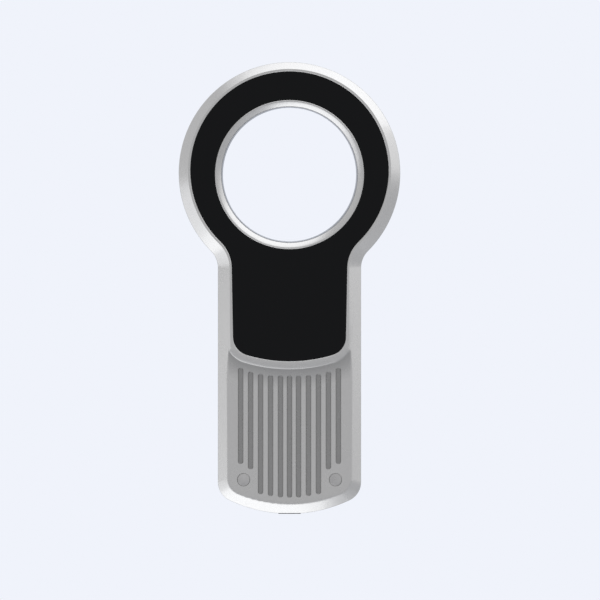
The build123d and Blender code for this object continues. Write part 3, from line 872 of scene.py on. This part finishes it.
def buttonFace(far):
    # the dished face with its fine raised rings, then the rounded edge
    radius, rounding = buttonSet["radius"], buttonSet["rounding"]
    faceSteps, edgeSteps = 60, 8
    face = []
    for step in range(faceSteps + 1):
        reach = (radius - rounding) * step / faceSteps
        rise = buttonSet["dish"] * (reach / radius) ** 2
        for ridge in range(ridges["count"]):
            off = (reach - ridges["first"] - ridge * ridges["step"]) / ridges["width"]
            rise += ridges["height"] * math.exp(-off * off)
        face.append((reach, far - buttonSet["dish"] + rise - buttonSet["below"]))
    for step in range(1, edgeSteps + 1):
        turn = math.pi / 2 * step / edgeSteps
        face.append((radius - rounding * (1 - math.sin(turn)), far - rounding * (1 - math.cos(turn))))
    return face


def makeButton():
    # a cap with a flange that keeps it in the case, and a hollow back
    near, far = depths("scan_button")
    brim = near + buttonSet["flangeThick"]
    radius, flange, deep = buttonSet["radius"], buttonSet["flange"], buttonSet["wellDepth"]
    inner, outer = buttonSet["well"]
    back = [(radius, brim), (flange, brim), (flange, near), (outer, near), (outer, deep), (inner, deep),
            (inner, near), (0, near)]
    button = lathe("scanButton", buttonFace(far) + back, (0, 0, buttonSet["z"]), closed=False)
    settle(button, "button", "button_plastic", "scan_button")


bezelSet = {"inner": 7.35, "outer": 8.9, "crest": 0.55, "innerCrest": 0.385, "step": 0.42,
            "stepRounding": 0.08, "foot": 0.1}


def makeBezel():
    # a bright ring with a rounded crest and a low step inside
    near, far = depths("button_bezel")
    inner, outer, step, foot = bezelSet["inner"], bezelSet["outer"], bezelSet["step"], bezelSet["foot"]
    corners = [(inner, near, foot), (inner, far - step, bezelSet["stepRounding"]),
               (inner + step, far, bezelSet["innerCrest"]), (outer, far, bezelSet["crest"]),
               (outer, near, foot)]
    bezel = lathe("buttonBezel", roundedLoop(corners, 6), (0, 0, buttonSet["z"]))
    settle(bezel, "case", "bezel_chrome", "button_bezel")


plungerSet = {"radius": 1.7, "foot": 0.1, "tip": 0.25}


def makePlunger():
    near, far = depths("switch_plunger")
    radius = plungerSet["radius"]
    outline = [(onAxis, near, 0), (radius, near, plungerSet["foot"]), (radius, far, plungerSet["tip"]),
               (onAxis, far, 0)]
    plunger = lathe("switchPlunger", roundedLoop(outline), (0, 0, buttonSet["z"]), steps=48, closed=False)
    settle(plunger, "button", "switch_plastic", "switch_plunger")


makeLiner()
makePlugs()
makeButton()
makeBezel()
makePlunger()


print("stage 4: screws and inserts")

screwPlaces = [(-17.0, -112.9), (17.0, -112.9), (-17.0, -46.0), (17.0, -46.0)]
boardScrewPlaces = [(-19.3, -78.0), (19.3, -78.0), (-19.3, -101.0), (19.3, -101.0)]
# thread is how deep the thread is; 0 leaves the shank plain
caseScrew = {"head": 1.9, "headHeight": 1.5, "rounding": 0.4, "shank": 0.98, "pitch": 0.75, "thread": 0.0,
             "arm": 0.9, "slotWidth": 0.4, "slotDepth": 0.9}
boardScrew = {"head": 1.7, "headHeight": 1.1, "rounding": 0.35, "shank": 0.75, "pitch": 0.55, "thread": 0.17,
              "arm": 0.75, "slotWidth": 0.32, "slotDepth": 0.55}
screwTip = {"threadless": 0.8, "taper": 0.3, "shoulder": 0.72, "point": 0.45}
slotTaper = 0.62     # the driver's recess at its bottom, as a share of its size at the top


def crossCutter(arm, width, top, bottom):
    # a tapered cross that leaves the driver's recess
    points = []
    for depth, size in ((top, 1.0), (bottom, slotTaper)):
        for quarter in range(4):
            turn = Matrix.Rotation(math.pi / 2 * quarter, 2)
            for corner in ((width / 2, width / 2), (width / 2, arm), (-width / 2, arm)):
                across, up = turn @ Vector(corner) * size
                points.append((across * mm, depth * mm, up * mm))
    faces = [tuple(range(12)), tuple(range(23, 11, -1))]
    faces += [(i, (i + 1) % 12, 12 + (i + 1) % 12, 12 + i) for i in range(12)]
    return addObject("crossCutter", meshFrom("crossCutter", points, faces))


def makeScrews(name, nodeName, values, places):
    # a rounded head with a cross recess, a shank that may have a thread, and a blunt tip
    near, far = depths(nodeName)
    head, rounding, shank, pitch = values["head"], values["rounding"], values["shank"], values["pitch"]
    seat = near + values["headHeight"]
    threadEnd = far - screwTip["threadless"]
    edge = 0.1
    headSteps, stepsPerTurn = 6, 6
    outline = [(onAxis / 2, near)]
    for step in range(headSteps + 1):
        turn = math.pi / 2 * step / headSteps
        outline.append((head - rounding * (1 - math.sin(turn)), near + rounding * (1 - math.cos(turn))))
    outline += [(head, seat - edge), (head - edge, seat), (shank, seat)]
    rows = int((threadEnd - seat) / pitch * stepsPerTurn)
    outline += [(shank, seat + (threadEnd - seat) * row / rows) for row in range(1, rows + 1)]
    outline += [(shank * screwTip["shoulder"], far - screwTip["taper"]), (shank * screwTip["point"], far),
                (onAxis / 2, far)]
    margin = 0.01

    def thread(radius, depth, angle):
        if not seat + margin < depth < threadEnd + margin:
            return radius
        phase = (depth / pitch - angle / (2 * math.pi)) % 1.0
        return radius - values["thread"] * abs(2 * phase - 1)

    part = lathe(name + "Part", outline, steps=32, closed=False, wave=thread, sharpAngle=50)
    cutAway(part, crossCutter(values["arm"], values["slotWidth"], near - 0.1, near + values["slotDepth"]))
    spots = [(x, 0, z) for x, z in places]
    turns = [0.4 + 1.1 * index for index in range(len(places))]     # no two recesses stand alike
    screws = repeatPart(name, part, spots, finishes["screw_steel"], turns)
    settle(screws, "case", "screw_steel", nodeName)


insertSet = {"outer": 1.8, "bore": 1.0, "waist": 1.55, "band": (2.6, 3.2), "chamfer": 0.2, "end": 0.25,
             "slope": 0.15}


def makeInserts():
    # brass sleeves with two wide bands and a waist between them
    near, far = depths("threaded_inserts")
    outer, bore, waist = insertSet["outer"], insertSet["bore"], insertSet["waist"]
    chamfer, end, slope = insertSet["chamfer"], insertSet["end"], insertSet["slope"]
    low, high = insertSet["band"]
    bandSteps = 6

    def band(start, stop):
        return [(outer, start + (stop - start) * step / bandSteps) for step in range(bandSteps + 1)]

    outline = [(bore, near), (outer - chamfer, near), *band(near + end, low - slope), (waist, low),
               (waist, high), *band(high + slope, far - end), (outer - chamfer, far), (bore, far)]
    part = lathe("insertPart", outline, steps=80)
    places = [(x, 0, z) for x, z in screwPlaces]
    inserts = repeatPart("threadedInserts", part, places, finishes["insert_brass"])
    settle(inserts, "case", "insert_brass", "threaded_inserts")


makeScrews("caseScrews", "case_screws", caseScrew, screwPlaces)
makeScrews("boardScrews", "board_screws", boardScrew, boardScrewPlaces)
makeInserts()


print("stage 5: antenna")

windingSet = {"inner": 33.4, "outer": 36.2, "half": 2.6, "layers": 8, "turns": 15, "steps": 112,
              "wireShare": 0.49}     # the wire's radius as a share of the pitch


def makeWinding():
    # every turn of the enamelled wire, in layers
    pitch = 2 * windingSet["half"] / windingSet["turns"]
    mean = (windingSet["inner"] + windingSet["outer"]) / 2
    values = {"Wire": pitch * windingSet["wireShare"] * mm, "Mean radius": mean * mm,
              "Layers": windingSet["layers"], "Turns": windingSet["turns"], "Pitch": pitch * mm,
              "Steps": windingSet["steps"], "Finish": finishes["coil_copper"]}
    winding = runTree("antennaCoil", winder, bpy.data.meshes.new("antennaCoil"), values)
    settle(winding, "case", "coil_copper", "antenna_coil")


makeWinding()
refined("antenna_bobbin", "antennaBobbin", "case", "white_moulding")
refined("coil_leads", "coilLeads", "case", "coil_copper", 60)


print("stage 6: circuit board and its parts")

leadSet = {"path": [(-0.05, 0.45), (0.25, 0.45), (0.42, 0.36), (0.50, 0.12), (0.62, 0.06), (0.9, 0.06)],
           "thick": 0.12}
chipSet = {"edge": 0.12, "standOff": 0.1, "dimple": 0.3, "dimpleDepth": 0.08, "dimpleIn": 0.75}
chips = [
    {"name": "processorChip", "node": "processor_chip", "wide": 7.0, "leads": 12, "pitch": 0.5,
     "leadWidth": 0.22},
    {"name": "readerChip", "node": "reader_chip", "wide": 4.4, "leads": 8, "pitch": 0.65, "leadWidth": 0.28},
    {"name": "chargerChip", "node": "charger_chip", "wide": 3.0, "leads": 3, "pitch": 0.95,
     "leadWidth": 0.36},
]


def makeChip(values):
    # a moulded body with a first-pin dimple, and bent leads down both sides
    low, high = [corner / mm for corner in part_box(values["node"])]
    centre = (low + high) / 2
    half = values["wide"] / 2
    nearCorner = (centre.x - half, low.y, low.z)
    farCorner = (centre.x + half, high.y - chipSet["standOff"], high.z)
    body = block(values["name"], nearCorner, farCorner, chipSet["edge"])
    radius, floor = chipSet["dimple"], low.y + chipSet["dimpleDepth"]
    dimple = [(onAxis, low.y - 1, 0), (radius, low.y - 1, 0), (radius, floor, 0), (onAxis, floor, 0)]
    spot = (centre.x - half + chipSet["dimpleIn"], 0, high.z - chipSet["dimpleIn"])
    cutAway(body, lathe("dimple", roundedLoop(dimple), spot, steps=24, closed=False))
    settle(body, "case", "chip_black", values["node"])
    path = [(x, -y) for x, y in leadSet["path"]]
    lead = bentStrip("leadPart", path, leadSet["thick"], values["leadWidth"])
    places = []
    turns = []
    for index in range(values["leads"]):
        level = centre.z + (index - (values["leads"] - 1) / 2) * values["pitch"]
        for side in (-1, 1):
            places.append((centre.x + side * half, high.y, level))
            turns.append(0.0 if side > 0 else math.pi)
    leads = repeatPart(values["name"] + "Leads", lead, places, finishes["can_metal"], turns)
    settle(leads, "case", "can_metal")


# rows of small parts: each row is its first part's place, how many there are and the step between them
smallSet = {"endShare": 0.22, "endEdge": 0.06, "bodyEdge": 0.05, "inset": 0.02, "lift": 0.03, "shorter": 0.1}
smallParts = [
    {"name": "boardCapacitors", "node": "board_capacitors", "slot": "capacitor_tan", "size": (1.2, 0.8, 2.0),
     "rows": [(-9.0, -44.0, 3, 2.2), (-5.0, -113.0, 4, 2.4), (11.0, -101.5, 3, 2.2)]},
    {"name": "boardResistors", "node": "board_resistors", "slot": "resistor_black", "size": (0.8, 0.45, 1.6),
     "rows": [(-9.0, -47.4, 5, 1.7), (-5.0, -101.4, 6, 1.7), (4.2, -115.5, 4, 1.7)]},
]


def makeSmallParts(values):
    # each part is a rounded block between two bright ends
    wide, thick, tall = values["size"]
    board = depths(values["node"])[1]
    places = []
    for x, z, count, spacing in values["rows"]:
        places += [(x + wide / 2 + index * spacing, board, z + tall / 2) for index in range(count)]
    inset, shorter = smallSet["inset"], smallSet["shorter"]
    bodyPart = block("bodyPart", (-wide / 2 + inset, -thick + inset, -tall / 2 + shorter),
                     (wide / 2 - inset, -smallSet["lift"], tall / 2 - shorter), smallSet["bodyEdge"])
    bodies = repeatPart(values["name"], bodyPart, places, finishes[values["slot"]])
    settle(bodies, "case", values["slot"], values["node"])
    cap = tall * smallSet["endShare"]
    endPart = block("endPart", (-wide / 2, -thick, -cap / 2), (wide / 2, 0, cap / 2), smallSet["endEdge"])
    ends = [(x, y, z + side * (tall - cap) / 2) for x, y, z in places for side in (-1, 1)]
    endCaps = repeatPart(values["name"] + "Ends", endPart, ends, finishes["can_metal"])
    settle(endCaps, "case", "can_metal")


usbSet = {"contacts": 5, "pitch": 0.65, "wide": 0.22, "thick": 0.06, "edge": 0.02, "low": -124.3,
          "high": -120.3, "depth": 0.03}


def makeContacts():
    wide, thick, count = usbSet["wide"], usbSet["thick"], usbSet["contacts"]
    part = block("contactPart", (-wide / 2, -thick / 2, usbSet["low"]),
                 (wide / 2, thick / 2, usbSet["high"]), usbSet["edge"])
    offsets = [index - (count - 1) / 2 for index in range(count)]
    places = [(offset * usbSet["pitch"], usbSet["depth"], 0) for offset in offsets]
    contacts = repeatPart("usbContacts", part, places, finishes["insert_brass"])
    settle(contacts, "case", "insert_brass")


for values in chips:
    makeChip(values)
for values in smallParts:
    makeSmallParts(values)
makeContacts()

carriedOver = [
    ("main_board", "mainBoard", "board_green"), ("crystal", "crystal", "can_metal"),
    ("inductor", "inductor", "ferrite"), ("status_led", "statusLed", "white_moulding"),
    ("light_guide", "lightGuide", "light_guide_clear"), ("buzzer", "buzzer", "black_moulding"),
    ("switch_body", "switchBody", "switch_plastic"), ("usb_connector", "usbConnector", "can_metal"),
    ("usb_tongue", "usbTongue", "black_moulding"), ("port_bezel", "portBezel", "black_moulding"),
    ("display_module", "displayModule", "display_glass"),
    ("display_holder", "displayHolder", "black_moulding"),
    ("display_gasket", "displayGasket", "foam"), ("display_ribbon", "displayRibbon", "ribbon_film"),
    ("battery_cell", "batteryCell", "cell_foil"), ("battery_pad", "batteryPad", "foam"),
    ("battery_leads", "batteryLeads", "lead_red"), ("battery_plug", "batteryPlug", "white_moulding"),
    ("battery_socket", "batterySocket", "white_moulding"),
    ("inlay_adhesive", "inlayAdhesive", "adhesive_tape"),
    ("panel_adhesive", "panelAdhesive", "adhesive_tape"),
]

print("stage 7: display, battery and the remaining pieces")
for nodeName, pieceName, slot in carriedOver:
    refined(nodeName, pieceName, "case", slot)

scene.view_settings.view_transform = "Standard"
